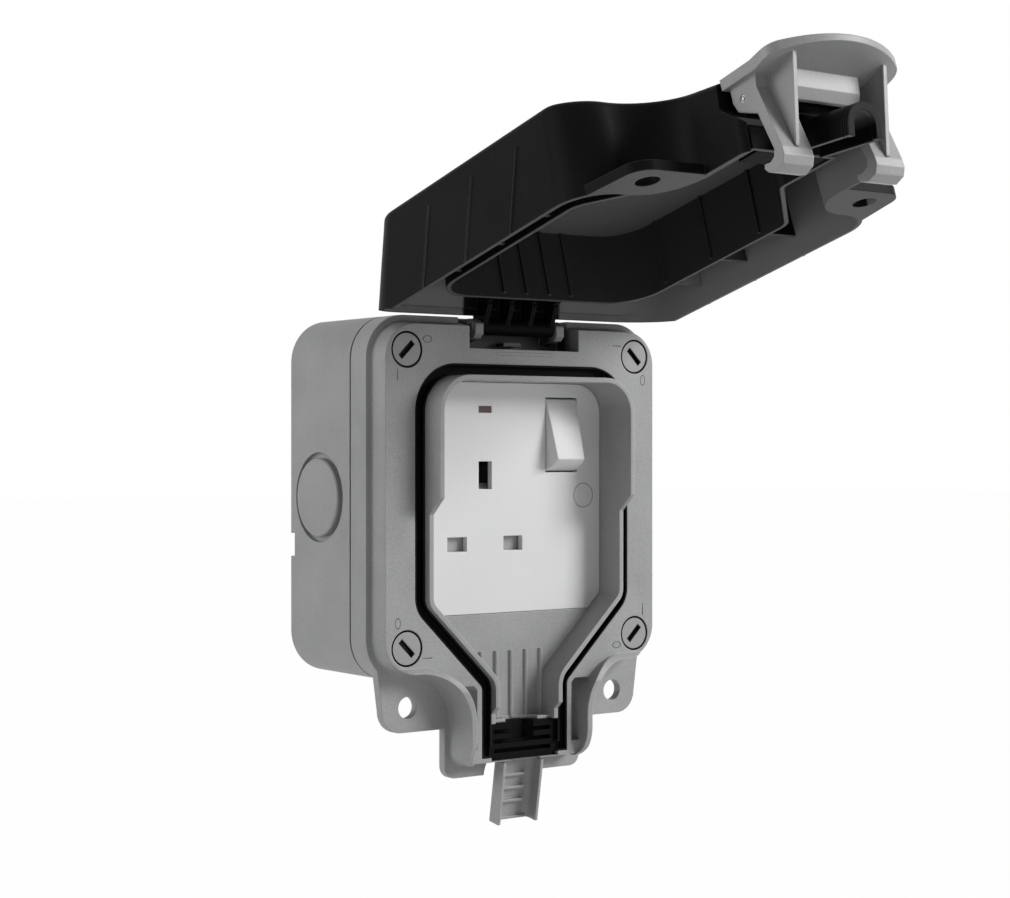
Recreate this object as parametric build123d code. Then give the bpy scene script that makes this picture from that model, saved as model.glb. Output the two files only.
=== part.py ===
import os
from math import atan, cos, degrees, radians, sin, sqrt, tan

from build123d import *

# Outdoor weatherproof socket with its lid open. Millimetres, X right, Z up.
# The wall is the plane Y = 0 and the room lies towards -Y: a level is a distance from the wall.

# Clearances
press_gap = 0.02            # pins and screws in their own holes
run_gap = 0.06              # shafts that turn
slide_gap = 0.4             # faces that move past each other
seat_gap = 0.15             # plate in its opening
fuse = 0.3                  # overlap of shapes that are one moulding

# Back box
body_width = 113.6
body_height = 115.6
body_corner = 14.0
box_depth = 36.4
box_wall = 2.6
box_floor = 2.6
fixing_pitch = 70.0
fixing_radius = 2.5
notch_height = 7.5
notch_depth = 2.3
notch_drop = 15.8           # notch centre below the middle

# Entry plugs in the two sides
entry_level = 17.8
entry_radius = 10.0
moat_radius = 14.5
moat_depth = 1.6
plug_radius = 12.6
plug_proud = 1.0
plug_edge = 0.8
plug_reach = 4.0            # spigot inside the wall
plug_wall = 1.6

# Gasket and front frame
gasket_thick = 0.8
gasket_width = 2.1
skirt_depth = 8.8
skirt_wall = 2.6
plate_thick = 3.0
plateau_rise = 6.5
plateau_inset = 2.0
plateau_draft = 8.7
face_thick = 2.6
plateau_wall = 3.6          # from the ledge edge to the hollow under the plateau
neck_half = 27.2
neck_blend = 14.0
neck_length = 32.2
neck_corner = 4.0
ledge_foot = 4.0            # ledge below the neck's end wall
neck_end_wall = 1.2

# Funnel, collar and seal groove round the socket
funnel_half = 37.4
funnel_top = 37.3
funnel_corner = 10.0
funnel_shoulder = -32.8
funnel_neck = 11.8
funnel_end = -78.2
shoulder_blend = 4.0
waist_blend = 8.0
socket_drop = 8.0           # socket face behind the frame's face
floor_thick = 2.2
collar_wall = 1.6
collar_rise = 8.5
collar_low_rise = 2.5
collar_step = 0.3           # where the collar starts to step down
collar_step_run = 5.3
collar_foot_rise = 5.0      # where the collar ends, in front of the socket
collar_foot_run = 5.0
collar_foot_past = 20.0     # trim below the weir
groove_width = 3.8
groove_depth = 5.0
groove_wall = 1.8
plate_foot = -38.0          # lower edge of the white plate
rib_count = 5
rib_pitch = 6.0
rib_radius = 0.9
rib_top = -50.2
weir_z = -72.2
weir_thick = 1.0
weir_drop = 2.0
weir_notch = 6.6
cable_radius = 6.0

# Cheeks and pockets beside the neck
cheek_inset = 3.0
cheek_wall = 2.0
cheek_rise = 4.7
cheek_tip = -53.0
cheek_leaf = 14.0           # from the tip to the full height
cheek_leaf_mid = 4.0
cheek_leaf_rise = 3.2
cheek_end = -85.5
cheek_heel = 9.0            # from the full height to the lower end
cheek_heel_mid = 5.0
cheek_heel_rise = 3.8
pocket_top = -60.0
pocket_end = -80.5

# Padlock ears
ear_x = 41.3
ear_drop = 8.25             # hole below the body
ear_hole = 3.5
ear_reach = 7.8             # below the hole
ear_side = 9.6
ear_root_rise = 5.0         # its root above the body's lower edge
ear_root_inset = 4.0
ear_round = 7.0

# Cable tongue under the neck
tongue_half = 8.0
tongue_wall = 1.0
tongue_depth = 6.6
tongue_floor = 1.2
tongue_length = 20.6
tongue_lean = 9.4
tongue_drop = 0.7           # start of its edges behind the frame's face
tongue_round = 2.5
tongue_rib_half = 4.0
tongue_rib_pitch = 4.4
tongue_rib_start = 5.0
tongue_rib_count = 3
tongue_rib_height = 1.4
tongue_rib_thick = 0.9
tongue_lip_height = 0.9
scallop_radius = 12.0
scallop_drop = 5.6          # its centre below the neck's end wall

# Quarter-turn frame screws
screw_inset_x = 11.0
screw_inset_z = 11.2
screw_head = 5.5
screw_head_deep = 3.6
screw_head_gap = 0.3
screw_shank = 3.0
screw_slot_long = 6.8
screw_slot_wide = 1.9
screw_slot_deep = 2.4
screw_boss = 7.5
lug_long = 9.4
lug_wide = 3.0
lug_thick = 2.6
lug_room = 0.6
lip_thick = 2.5
chamber_deep = 6.0

# Hinge
hinge_inset = 2.8           # axis below the top of the body
hinge_rise = 0.4            # axis in front of the lid's rim
hinge_pin_radius = 1.5
hinge_pin_stub = 0.5        # each end past its bracket
barrel_radius = 2.7
barrel_half = 14.4
bracket_thick = 3.0
bracket_rise = 3.2
bracket_reach = 5.5          # foot below the pin
bracket_top = 2.5            # above the pin
bracket_round = 1.6
recess_half = 22.0
recess_drop = 10.2
recess_depth = 12.0
recess_wall = 2.0
fin_thick = 1.5
fin_height = 9.4            # along the sealing wall
stop_half = 3.4
stop_high = 1.3
stop_lift = 1.3             # above the recess's lower wall
stop_reach = 4.9
fin_spots = (-13.4, -4.5, 4.5, 13.4)
open_angle = 105.85

# Lid
lid_wall = 1.6
lid_front_thick = 2.2
lid_depth = 30.8
lid_overhang = 1.0          # rim past the body at the hinge end
lid_draft = 3.5
lid_end_lean = 19.8
lid_front_fall = 1.3        # front nearer the wall at the beak than at the hinge
lid_beak_lift = 44.0        # heights of the lid's lower end, above or below the frame's foot
lid_beak_drop = 7.8
lid_beak_round = 20.0
lid_end_lift = 7.2
lid_foot_drop = 1.6
lid_lift = 0.8              # open lid above the top of the box
lid_edge = 2.0
lid_cheek_top = 1.1         # open end's cheeks, measured from the latch pin
lid_cheek_knee = 7.7
lid_cheek_run = 7.8
lid_cheek_foot = 10.1
lid_mouth = 4.6
relief_past = 10.0          # rim relief past the hinge and behind the rim
relief_behind = 5.0
tip_gap = 1.6               # sealing wall above the groove seal's bed
seal_wall = 1.4
rib_lines = (23.0, 0.0, -23.0)
line_lean = 18.0
line_length = 23.5
line_wide = 0.7
line_proud = 0.35
line_root = 4.0
web_thick = 1.4
ridge_deep = 0.85
ridge_wide = 1.0
ridge_start = 1.5           # above the sealing wall's tip
lid_ear_thick = 3.0

# Half tube at the lid's free end, which nests in the tongue
tube_radius = 6.45
tube_wall = 1.5
tube_rise = 0.55            # centre of its arch in front of the tongue's edges
tube_nest = 2.6             # its edges behind the tongue's edges
tube_end_gap = 0.5          # past the tongue's end
tube_ring = 0.8             # end ring inside the arch
tube_ring_long = 1.8
tube_groove = 0.5

# Latch clip and its pin
latch_lift = 1.4            # pin above the frame's foot
latch_rise = 16.2           # pin in front of the lid's rim
latch_pin_radius = 1.0
latch_pin_sink = 0.2        # each end below the clip's side
knuckle_radius = 2.3
knuckle_half = 20.0
knuckle_front = 3.6         # root of its arm, in front of the pin and behind it
knuckle_back = 5.0
knuckle_bite = 0.5          # arm's root in the lid's end wall
clip_half = 22.7
lug_plate = 2.3
leg_width = 10.9
grip_half = 24.5
grip_front = 39.6           # radius of the grip's front edge
grip_reach = 22.9           # below the pin
grip_round = 6.0
gusset_x = 17.0
gusset_thick = 1.4
leg_points = (              # outlines as level and height from the pin
    (5.9, -3.0),
    (1.0, -2.7),
    (-6.1, -4.5),
    (-17.6, -7.8),
    (-19.6, -7.2),
    (-20.5, -5.4),
    (-20.2, -3.2),
    (-21.4, -3.0),
    (-22.8, -4.1),
    (-23.7, -6.8),
    (-22.5, -9.9),
    (-20.2, -10.9),
    (-17.9, -10.7),
    (1.2, -5.9),
    (5.9, -6.5),
)
lug_points = ((5.0, 3.9), (0.0, 3.7), (-3.0, 2.3), (-6.0, -4.4), (5.9, -4.4))
grip_points = (
    (7.4, 5.3),
    (7.8, -6.9),
    (9.6, -16.0),
    (11.0, -24.0),
    (9.2, -24.0),
    (7.0, -16.0),
    (4.6, -8.2),
    (4.2, 5.1),
)
gusset_points = ((5.4, -6.0), (7.4, -16.4), (6.6, -16.4), (-17.6, -10.9), (1.2, -5.9))
web_points = ((5.4, -7.6), (-2.4, -7.0), (-2.4, -8.4), (0.6, -10.0), (5.8, -10.6))

# Socket module
pin_pitch = 22.23
pin_side = 11.1
earth_x = -10.2
earth_z = 7.0
earth_slot_wide = 5.2
earth_slot_high = 9.0
line_slot_wide = 7.6
line_slot_high = 4.7
flange_wide = 84.0
flange_high = 75.0
flange_thick = 2.0
flange_corner = 6.0
housing_wide = 68.0
housing_high = 68.0
housing_deep = 20.0
housing_corner = 4.0
housing_back = 2.0
module_screw_x = 40.6
module_screw_z = 28.0
module_screw_raise = 4.0    # lower pair nearer the middle
module_screw_radius = 1.3
module_screw_head = 2.8
module_screw_grip = 4.0
module_screw_cap = 2.0
module_screw_end_gap = 0.3
driver_slot = 0.8
driver_slot_deep = 1.0

# Contacts
leaf_thick = 0.8
earth_gap = 4.2             # between the earth leaves, across the pin
line_gap = 4.2
leaf_wide = 6.0
contact_long = 13.0
earth_pocket_spare = 3.0
line_pocket_spare = 2.0
pocket_room = 0.6
terminal_wide = 8.0
terminal_deep = 9.0
wire_radius = 2.0
terminal_screw_radius = 1.7
terminal_screw_head = 2.6
terminal_screw_cap = 2.5
terminal_screw_bite = 2.0

# Shutter and its spring
shutter_thick = 2.4
shutter_bar = 6.5
shutter_side = 5.6          # cover past each slot's centre
shutter_arm = 8.0
shutter_travel = 6.6
shutter_ramp = 2.0
spring_radius = 1.1
spring_wire = 0.22
spring_length = 13.0
spring_turns = 6

# Rocker switch
rocker_x = 20.9
rocker_z = 20.2
rocker_wide = 12.5
rocker_radius = 12.2
rocker_window_wide = 13.1
rocker_window_high = 24.8
rocker_sink = 3.6           # pivot behind the plate's face
rocker_swing = 14.0
rocker_depth = 4.5
trunnion_radius = 1.1
trunnion_long = 1.8
plunger_root = 0.5          # sunk in the rocker's back
plunger_radius = 1.2
plunger_gap = 0.9
blade_long = 18.0
blade_wide = 5.0
blade_thick = 1.2
blade_pivot = 1.0
blade_tilt = 8.0
blade_rise = 4.0
blade_pivot_reach = 0.9
fixed_contact_wide = 5.0

# Neon and screw cover
neon_z = 28.4
neon_wide = 5.2
neon_high = 2.2
neon_sink = 0.3
neon_lamp_radius = 1.8
neon_lamp_long = 9.0
cover_x = 30.2
cover_z = 0.0
cover_radius = 4.0
cover_thick = 1.0
plate_screw_radius = 1.5
plate_screw_long = 7.0

# Cable seals
block_top = 1.5             # lower block behind the frame's face
block_side = 2.0            # end uprights of the lower block
block_notch_wide = 9.0
block_notch_low = 5.0
block_notch_deep = 3.6
fin_groove = 1.4
fin_groove_deep = 2.6
fin_pitch = 3.1
upper_block_deep = 6.0
upper_notch = 4.0
seal_bed = 2.5
seal_lip = 0.5

# Levels and positions that follow from the sizes above
half_width = body_width / 2
half_height = body_height / 2
frame_back = box_depth + gasket_thick
ledge_level = frame_back + skirt_depth
plate_back = ledge_level - plate_thick
face_level = ledge_level + plateau_rise
socket_level = face_level - socket_drop
web_back = socket_level - floor_thick
collar_level = face_level + collar_rise
collar_low = face_level + collar_low_rise
groove_floor = face_level - groove_depth
groove_outer = collar_wall + groove_width
far_level = collar_level + lid_depth
foot_z = -(half_height + neck_length)
plateau_foot = foot_z + ledge_foot
basin_end = plateau_foot + neck_end_wall
ear_z = -(half_height + ear_drop)
screw_x = half_width - screw_inset_x
screw_z = half_height - screw_inset_z
screw_spots = {
    "top_left": (-screw_x, screw_z, 45),
    "top_right": (screw_x, screw_z, -45),
    "bottom_left": (-screw_x, -screw_z, -45),
    "bottom_right": (screw_x, -screw_z, 45),
}
recess_floor = face_level - recess_depth
lid_rim = ledge_level + slide_gap
lid_beak_z = foot_z + lid_beak_lift
lid_end_z = foot_z + lid_end_lift
lid_foot_z = foot_z - lid_foot_drop
latch_z = foot_z + latch_lift
latch_level = lid_rim + latch_rise
grip_tip = latch_z - grip_reach
lid_front = lid_rim + lid_depth
hinge_level = lid_rim + hinge_rise
hinge_z = half_height - hinge_inset
seal_inner = collar_wall + (groove_width - seal_wall) / 2
seal_outer = seal_inner + seal_wall
tube_root = funnel_end - seal_inner - plateau_foot
seal_tip = groove_floor + seal_bed + tip_gap
live_x = earth_x - pin_side
neutral_x = earth_x + pin_side
line_z = earth_z - pin_pitch
rocker_level = socket_level - rocker_sink
housing_level = web_back - housing_deep - flange_thick
side = Plane(origin=(0, 0, 0), x_dir=(0, -1, 0), z_dir=(-1, 0, 0))


# Small helpers: faces are drawn as (x, z) in front of the wall, or as (level, z) from the side
def at(level):
    return Plane.XZ.offset(level)


def slab(face, low, high):
    return extrude(at(low) * face, amount=high - low, dir=(0, -1, 0))


def rod(x, z, radius, low, high):
    return slab(Pos(x, z) * Circle(radius), low, high)


def bar(x, z, width, height, low, high):
    return slab(Pos(x, z) * Rectangle(width, height), low, high)


def across(face, left, right):
    return extrude(side.offset(-right) * face, amount=right - left, dir=(-1, 0, 0))


def cross_rod(level, z, radius, left, right):
    return across(Pos(level, z) * Circle(radius), left, right)


def upright(x, level, radius, low, high):
    return extrude(Plane.XY.offset(low) * Pos(x, -level) * Circle(radius), amount=high - low)


def outline(points):
    return Polygon(*points, align=None)


def both_sides(shape):
    return shape + mirror(shape, about=Plane.YZ)


def mirrored_face(right_edges):
    half = Curve() + right_edges
    return make_face(half + mirror(half, about=Plane.YZ))


def body_face(inset):
    return RectangleRounded(body_width - 2 * inset, body_height - 2 * inset, body_corner - inset)


# Outline of frame and lid: rounded box, hollow curves below, then the neck
def plan(inset, foot, drop=0):
    half = half_width - inset
    top = half_height - inset - drop
    low = inset - half_height
    corner = body_corner - inset
    neck = neck_half - inset
    blend = min(neck_blend, half_width - body_corner - neck_half - press_gap) + inset
    r = neck_corner
    return mirrored_face([
        Line((0, top), (half - corner, top)),
        CenterArc((half - corner, top - corner), corner, 90, -90),
        Line((half, top - corner), (half, low + corner)),
        CenterArc((half - corner, low + corner), corner, 0, -90),
        Line((half - corner, low), (neck + blend, low)),
        CenterArc((neck + blend, low - blend), blend, 90, 90),
        Line((neck, low - blend), (neck, foot + r)),
        CenterArc((neck - r, foot + r), r, 0, -90),
        Line((neck - r, foot), (0, foot)),
    ])


# Outline of the funnel round the socket: square top, shoulders at 45 degrees, then the neck
def funnel(grow):
    half = funnel_half + grow
    top = funnel_top + grow
    corner = funnel_corner + grow
    neck = funnel_neck + grow
    turn = tan(radians(22.5))
    diagonal = sqrt(0.5)
    shoulder = funnel_shoulder - grow * turn
    waist = shoulder - (half - neck)
    end = funnel_end - grow
    outer = shoulder_blend + grow
    inner = waist_blend - grow
    start = (half - outer + outer * diagonal, shoulder + outer * turn - outer * diagonal)
    finish = (neck + inner - inner * diagonal, waist - inner * turn + inner * diagonal)
    return mirrored_face([
        Line((0, top), (half - corner, top)),
        CenterArc((half - corner, top - corner), corner, 90, -90),
        Line((half, top - corner), (half, shoulder + outer * turn)),
        CenterArc((half - outer, shoulder + outer * turn), outer, 0, -45),
        Line(start, finish),
        CenterArc((neck + inner, waist - inner * turn), inner, 135, 45),
        Line((neck, waist - inner * turn), (neck, end)),
        Line((neck, end), (0, end)),
    ])


# Ear for a padlock, drawn on the right
def ear_face():
    low = ear_z - ear_reach
    root = outline([
        (neck_half - 1, ear_root_rise - half_height),
        (half_width - ear_root_inset, ear_root_rise - half_height),
        (ear_x + ear_side, ear_z - ear_reach + ear_round),
        (ear_x + ear_side - ear_round, low),
        (neck_half - 1, low),
    ])
    tip = Pos(ear_x + ear_side - ear_round, low + ear_round) * Circle(ear_round)
    return root + tip


# The tongue and the lid's half tube share this leaning frame: x across, y to the room, z down
def tongue_frame():
    lean = radians(tongue_lean)
    start = (0, tongue_drop - face_level, plateau_foot)
    return Plane(origin=start, x_dir=(1, 0, 0), z_dir=(0, sin(lean), -cos(lean)))


def along_tongue(face, low, high):
    return extrude(tongue_frame().offset(low) * face, amount=high - low)


# Back box, open at the front, with four bayonet posts and two side entries
def make_back_box():
    box = slab(body_face(0), 0, box_depth)
    box -= slab(body_face(box_wall), box_floor, box_depth)
    lip = box_depth - lip_thick
    chamber = lug_long / 2 + lug_room
    for x, z, turn in screw_spots.values():
        box += rod(x, z, screw_boss, 0, box_depth)
        slot = Rectangle(lug_long + 2 * slide_gap, lug_wide + 2 * slide_gap)
        slot += Circle(screw_shank + slide_gap)
        box -= slab(Pos(x, z) * Rot(0, 0, turn) * slot, lip, box_depth)
        box -= rod(x, z, chamber, lip - chamber_deep, lip)
    for x in (-half_width, half_width):
        box -= cross_rod(entry_level, 0, moat_radius, x - moat_depth, x + moat_depth)
        box -= cross_rod(entry_level, 0, entry_radius, x - 2 * box_wall, x + 2 * box_wall)
    for x in (-fixing_pitch / 2, fixing_pitch / 2):
        for z in (-fixing_pitch / 2, fixing_pitch / 2):
            box -= rod(x, z, fixing_radius, 0, box_floor)
    box -= bar(-half_width, -notch_drop, 2 * box_wall, notch_height, 0, notch_depth)
    return box


# Blanking plug: a domed disc in the moat, and a hollow spigot through the wall
def make_entry_plug(direction):
    seat = half_width - moat_depth
    disc = cross_rod(entry_level, 0, plug_radius, seat, half_width + plug_proud)
    disc = fillet(disc.edges().group_by(Axis.X)[-1], plug_edge)
    spigot_end = half_width - box_wall - plug_reach
    spigot = cross_rod(entry_level, 0, entry_radius - press_gap, spigot_end, seat)
    spigot -= cross_rod(entry_level, 0, entry_radius - plug_wall, spigot_end, seat)
    plug = disc + spigot
    return plug if direction > 0 else mirror(plug, about=Plane.YZ)


def make_box_gasket():
    inset = box_wall - gasket_width
    return slab(body_face(inset) - body_face(inset + gasket_width), box_depth, frame_back)


# Space behind the frame's face, left round the funnel, the hinge tray and the screw posts
def frame_hollow():
    step = plate_back + slide_gap
    hollow = slab(body_face(skirt_wall), frame_back, step)
    hollow += slab(body_face(plateau_inset + plateau_wall), step, face_level - face_thick)
    hollow -= slab(funnel(groove_outer + groove_wall), web_back, face_level)
    tray_low = half_height - recess_drop - recess_wall
    tray = 2 * (recess_half + recess_wall)
    hollow -= bar(0, tray_low + tray / 2, tray, tray, recess_floor - recess_wall, face_level)
    for x, z, turn in screw_spots.values():
        hollow -= rod(x, z, screw_boss, frame_back, face_level)
    return hollow


# Side view of what is cut off the collar: high round the socket, low round the funnel
def collar_trim():
    low_z = collar_step - collar_step_run
    neck_low = socket_level + collar_foot_rise
    trim = outline([
        (collar_level + 1, collar_step),
        (collar_level, collar_step),
        (collar_low, low_z),
        (collar_low, weir_z + collar_foot_run),
        (neck_low, weir_z),
        (collar_level + 1, weir_z - collar_foot_past),
    ])
    return across(trim, -half_width, half_width)


# Raised cheeks that follow the neck's sides, each with a pointed leaf at its upper end
def make_cheeks():
    ring = plan(cheek_inset, plateau_foot) - plan(cheek_inset + cheek_wall, plateau_foot)
    inner_x = funnel_neck + groove_outer + cheek_wall
    ring = ring & (Pos(half_width / 2 + inner_x, 0) * Rectangle(half_width, 4 * half_height))
    root = face_level - face_thick
    crest = face_level + cheek_rise
    tip = (face_level, cheek_tip)
    heel = (face_level, cheek_end)
    full = (crest, cheek_tip - cheek_leaf)
    fall = (crest, cheek_end + cheek_heel)
    profile = make_face(Curve() + [
        ThreePointArc(tip, (face_level + cheek_leaf_rise, cheek_tip - cheek_leaf_mid), full),
        Line(full, fall),
        ThreePointArc(fall, (face_level + cheek_heel_rise, cheek_end + cheek_heel_mid), heel),
        Polyline(heel, (root, cheek_end), (root, cheek_tip), tip),
    ])
    wall = slab(ring, root, crest) & across(profile, 0, half_width)
    return both_sides(wall)


# Through pockets between the cheeks and the neck
def neck_pockets():
    space = plan(cheek_inset + cheek_wall, plateau_foot) - funnel(groove_outer + groove_wall)
    window = Pos(half_width / 2 + funnel_neck, (pocket_top + pocket_end) / 2)
    space = space & (window * Rectangle(half_width, pocket_top - pocket_end))
    return both_sides(slab(space, plate_back, far_level))


# Trough for the cable, with short ribs on its floor and a low lip at its end
def make_tongue():
    outer = Pos(0, -tongue_depth / 2) * Rectangle(2 * tongue_half, tongue_depth)
    outer = fillet(outer.vertices().group_by(Axis.Y)[0], tongue_round)
    deep = tongue_depth - tongue_floor
    inner_half = tongue_half - tongue_wall
    inner = Pos(0, -deep / 2) * Rectangle(2 * inner_half, deep)
    inner = fillet(inner.vertices().group_by(Axis.Y)[0], tongue_round)
    tongue = along_tongue(outer - inner, 0, tongue_length)
    high = tongue_rib_height + fuse
    rib = Pos(0, high / 2 - deep - fuse) * Rectangle(2 * tongue_rib_half, high)
    for i in range(tongue_rib_count):
        start = tongue_rib_start + i * tongue_rib_pitch
        tongue += along_tongue(rib, start, start + tongue_rib_thick)
    lip = inner & (Pos(0, tongue_lip_height / 2 - deep) * Rectangle(2 * inner_half, tongue_lip_height))
    return tongue + along_tongue(lip, tongue_length - tongue_rib_thick, tongue_length)


# Pin brackets that stand in the hinge recess, and the small stop between them
def make_brackets():
    inner = barrel_half + slide_gap
    crown = hinge_level + bracket_rise
    root = recess_floor - fuse
    profile = outline([
        (root, hinge_z - bracket_reach),
        (crown - bracket_round, hinge_z - bracket_reach + bracket_round),
        (crown, hinge_z - bracket_top),
        (crown, hinge_z + bracket_top - bracket_round),
        (hinge_level, hinge_z + bracket_top),
        (root, hinge_z + bracket_top),
    ])
    tops = profile.vertices().group_by(Axis.X)[-1]
    plate = across(fillet(tops, bracket_round / 2), inner, inner + bracket_thick)
    plate -= cross_rod(hinge_level, hinge_z, hinge_pin_radius + press_gap, inner, inner + bracket_thick)
    stop_z = half_height - recess_drop + stop_lift + stop_high / 2
    stop = bar(0, stop_z, 2 * stop_half, stop_high, root, recess_floor + stop_reach)
    return both_sides(plate) + stop


# Raised face of the frame, or the room that the lid leaves for it
def raised_face(gap):
    start = at(ledge_level) * plan(plateau_inset - gap, plateau_foot)
    return extrude(start, amount=plateau_rise + gap, taper=plateau_draft)


# Front frame: ledge, raised face, collar, funnel and cable neck in one moulding
def make_front_frame():
    frame = slab(body_face(0), frame_back, ledge_level)
    frame += slab(plan(0, foot_z), plate_back, ledge_level)
    frame += both_sides(slab(ear_face(), plate_back, ledge_level))
    frame += raised_face(0)
    frame += make_cheeks()
    frame -= frame_hollow()
    frame -= neck_pockets()
    scallop = Pos(0, plateau_foot - scallop_drop) * Circle(scallop_radius)
    scallop = scallop & (Pos(0, plateau_foot - half_height) * Rectangle(body_width, body_height))
    frame -= slab(scallop, plate_back, ledge_level)
    frame += slab(funnel(collar_wall), web_back, collar_level) - collar_trim()
    frame -= slab(funnel(0), socket_level, far_level)
    frame -= slab(funnel(groove_outer) - funnel(collar_wall), groove_floor, far_level)
    opening = funnel(0) & (Pos(0, plate_foot + body_height / 2) * Rectangle(body_width, body_height))
    frame -= slab(opening, web_back, socket_level)
    basin_high = weir_z - weir_thick / 2 - basin_end
    basin_half = funnel_neck + collar_wall
    frame -= bar(0, basin_end + basin_high / 2, 2 * basin_half, basin_high, socket_level, far_level)
    weir_top = face_level - weir_drop
    weir = bar(0, weir_z, 2 * basin_half, weir_thick, socket_level, weir_top)
    frame += weir - upright(0, weir_top + 1, weir_notch, weir_z - weir_thick, weir_z + weir_thick)
    frame += make_tongue()
    frame -= upright(0, face_level, cable_radius, plateau_foot - press_gap, basin_end)
    for i in range(rib_count):
        x = (i - (rib_count - 1) / 2) * rib_pitch
        frame += upright(x, socket_level, rib_radius, weir_z, rib_top)
    recess_high = recess_drop + 1
    recess_mid = half_height - recess_drop + recess_high / 2
    frame -= bar(0, recess_mid, 2 * recess_half, recess_high, recess_floor, far_level)
    frame += make_brackets()
    bore_floor = face_level - screw_head_deep - 2 * screw_head_gap
    for x, z, turn in screw_spots.values():
        frame -= rod(x, z, screw_head + screw_head_gap, bore_floor, face_level)
        frame -= rod(x, z, screw_shank + run_gap, frame_back, face_level)
    for x in (-ear_x, ear_x):
        frame -= rod(x, ear_z, ear_hole, plate_back, ledge_level)
    for x, z in module_screw_spots():
        frame -= rod(x, z, module_screw_radius + press_gap, web_back, web_back + module_screw_grip)
    return frame


# Quarter-turn screw: slotted head, shank and a bayonet lug across the slot of its post
def make_frame_screw(x, z, turn):
    head_top = face_level - screw_head_gap / 2
    head_low = head_top - screw_head_deep
    lug_top = box_depth - lip_thick - slide_gap
    screw = rod(x, z, screw_head, head_low, head_top)
    screw += rod(x, z, screw_shank, lug_top - lug_thick, head_low)
    place = Pos(x, z) * Rot(0, 0, turn)
    slot = place * Rectangle(screw_slot_long, screw_slot_wide)
    screw -= slab(slot, head_top - screw_slot_deep, head_top)
    cross = Pos(x, z) * Rot(0, 0, turn + 90) * Rectangle(lug_long, lug_wide)
    return screw + slab(cross, lug_top - lug_thick, lug_top)


# Double-lip seal in the groove, open at the cable block
def make_lid_seal():
    inner = collar_wall + press_gap
    outer = groove_outer - press_gap
    bed_top = groove_floor + seal_bed
    bed = slab(funnel(outer) - funnel(inner), groove_floor, bed_top)
    lips = funnel(outer) - funnel(outer - seal_lip)
    lips += funnel(inner + seal_lip) - funnel(inner)
    seal = bed + slab(lips, bed_top, face_level)
    mouth_high = weir_z - weir_thick / 2 - basin_end
    mouth_half = funnel_neck + collar_wall + press_gap
    mouth = bar(0, basin_end + mouth_high / 2, 2 * mouth_half, mouth_high, groove_floor, far_level)
    return seal - mouth


# Finned rubber block in the neck: grooves between two uprights, and a notch in its upper fins
def make_lower_cable_seal():
    top = face_level - block_top
    z_high = weir_z - weir_thick / 2 - press_gap
    z_low = basin_end + press_gap
    half = funnel_neck + collar_wall - press_gap
    middle = (z_high + z_low) / 2
    block = bar(0, middle, 2 * half, z_high - z_low, socket_level, top)
    for i in (-1, 0, 1):
        z = middle + i * fin_pitch
        block -= bar(0, z, 2 * (half - block_side), fin_groove, top - fin_groove_deep, top)
    wide = block_notch_wide / 2
    low = block_notch_low / 2
    deep = block_notch_deep
    notch = outline([(-wide, 0), (-low, deep), (low, deep), (wide, 0)])
    face = Plane.XY.offset(middle) * Pos(0, -top) * notch
    return block - extrude(face, amount=z_high - middle, dir=(0, 0, 1))


# Side view of the lid's front and open end, as (level, z), set in from its outside
def lid_profile(wall, front, end):
    top = lid_front - front
    beak = (top - lid_front_fall, lid_beak_z)
    end_z = half_height + lid_overhang
    start = [(lid_rim - lid_depth, end_z), (top, end_z)]
    face = outline(start + [beak, (top - lid_beak_drop, lid_end_z + wall)] + end)
    return fillet(face.vertices().sort_by_distance(Vector(*beak))[0], lid_beak_round)


# The lid's outline from rim to front: the sides draw in and the hinge end leans back
def lid_form(wall, foot):
    draw = lid_depth * tan(radians(lid_draft))
    drop = lid_depth * tan(radians(lid_end_lean)) - draw
    rim = at(lid_rim) * plan(wall, foot, -lid_overhang)
    front = at(lid_front) * plan(wall + draw, foot, drop - lid_overhang)
    return loft([rim, front], ruled=True)


# Outside of the hinge end at a level
def hinge_end(level):
    return half_height + lid_overhang - (level - lid_rim) * tan(radians(lid_end_lean))


# Cheeks of the lid's open end, which step back for the latch clip
def lid_end_points():
    return [
        (latch_level - lid_cheek_top, lid_end_z),
        (latch_level - lid_cheek_knee, lid_end_z - lid_cheek_run),
        (latch_level - lid_cheek_foot, lid_foot_z),
        (lid_rim - lid_depth, lid_foot_z),
    ]


# Outside of the lid with its front edge rounded
def lid_block():
    block = lid_form(0, lid_foot_z)
    block = block & across(lid_profile(0, 0, lid_end_points()), -half_width, half_width)
    front = block.faces().filter_by(lambda face: face.normal_at().Y < -0.9)
    edges = front.edges().filter_by(lambda edge: abs(edge.center().X) > 1 or edge.center().Z > 0)
    return fillet(edges, lid_edge)


def lid_hollow():
    below = lid_foot_z - lid_depth
    mouth = latch_level - lid_mouth
    tail = [(mouth, lid_end_z + lid_wall), (mouth, below), (lid_rim - lid_depth, below)]
    space = lid_form(lid_wall, below)
    space += slab(plan(lid_wall, below, -lid_overhang), lid_rim - lid_wall, lid_rim)
    space += raised_face(slide_gap)
    return space & across(lid_profile(lid_wall, lid_front_thick, tail), -half_width, half_width)


# What is cut off the rim beside the hinge, so that the open lid clears the box
def rim_relief():
    angle = radians(open_angle)
    slope = -cos(angle) / sin(angle)
    rise = (hinge_inset + lid_lift) / sin(angle)
    level = hinge_level + rise
    run = (level - lid_rim) / slope
    wedge = outline([
        (lid_rim, hinge_z - run),
        (level + slope * relief_past, hinge_z + relief_past),
        (lid_rim - relief_behind, hinge_z + relief_past),
        (lid_rim - relief_behind, hinge_z - run),
    ])
    return both_sides(across(wedge, barrel_half, half_width + 1))


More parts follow.
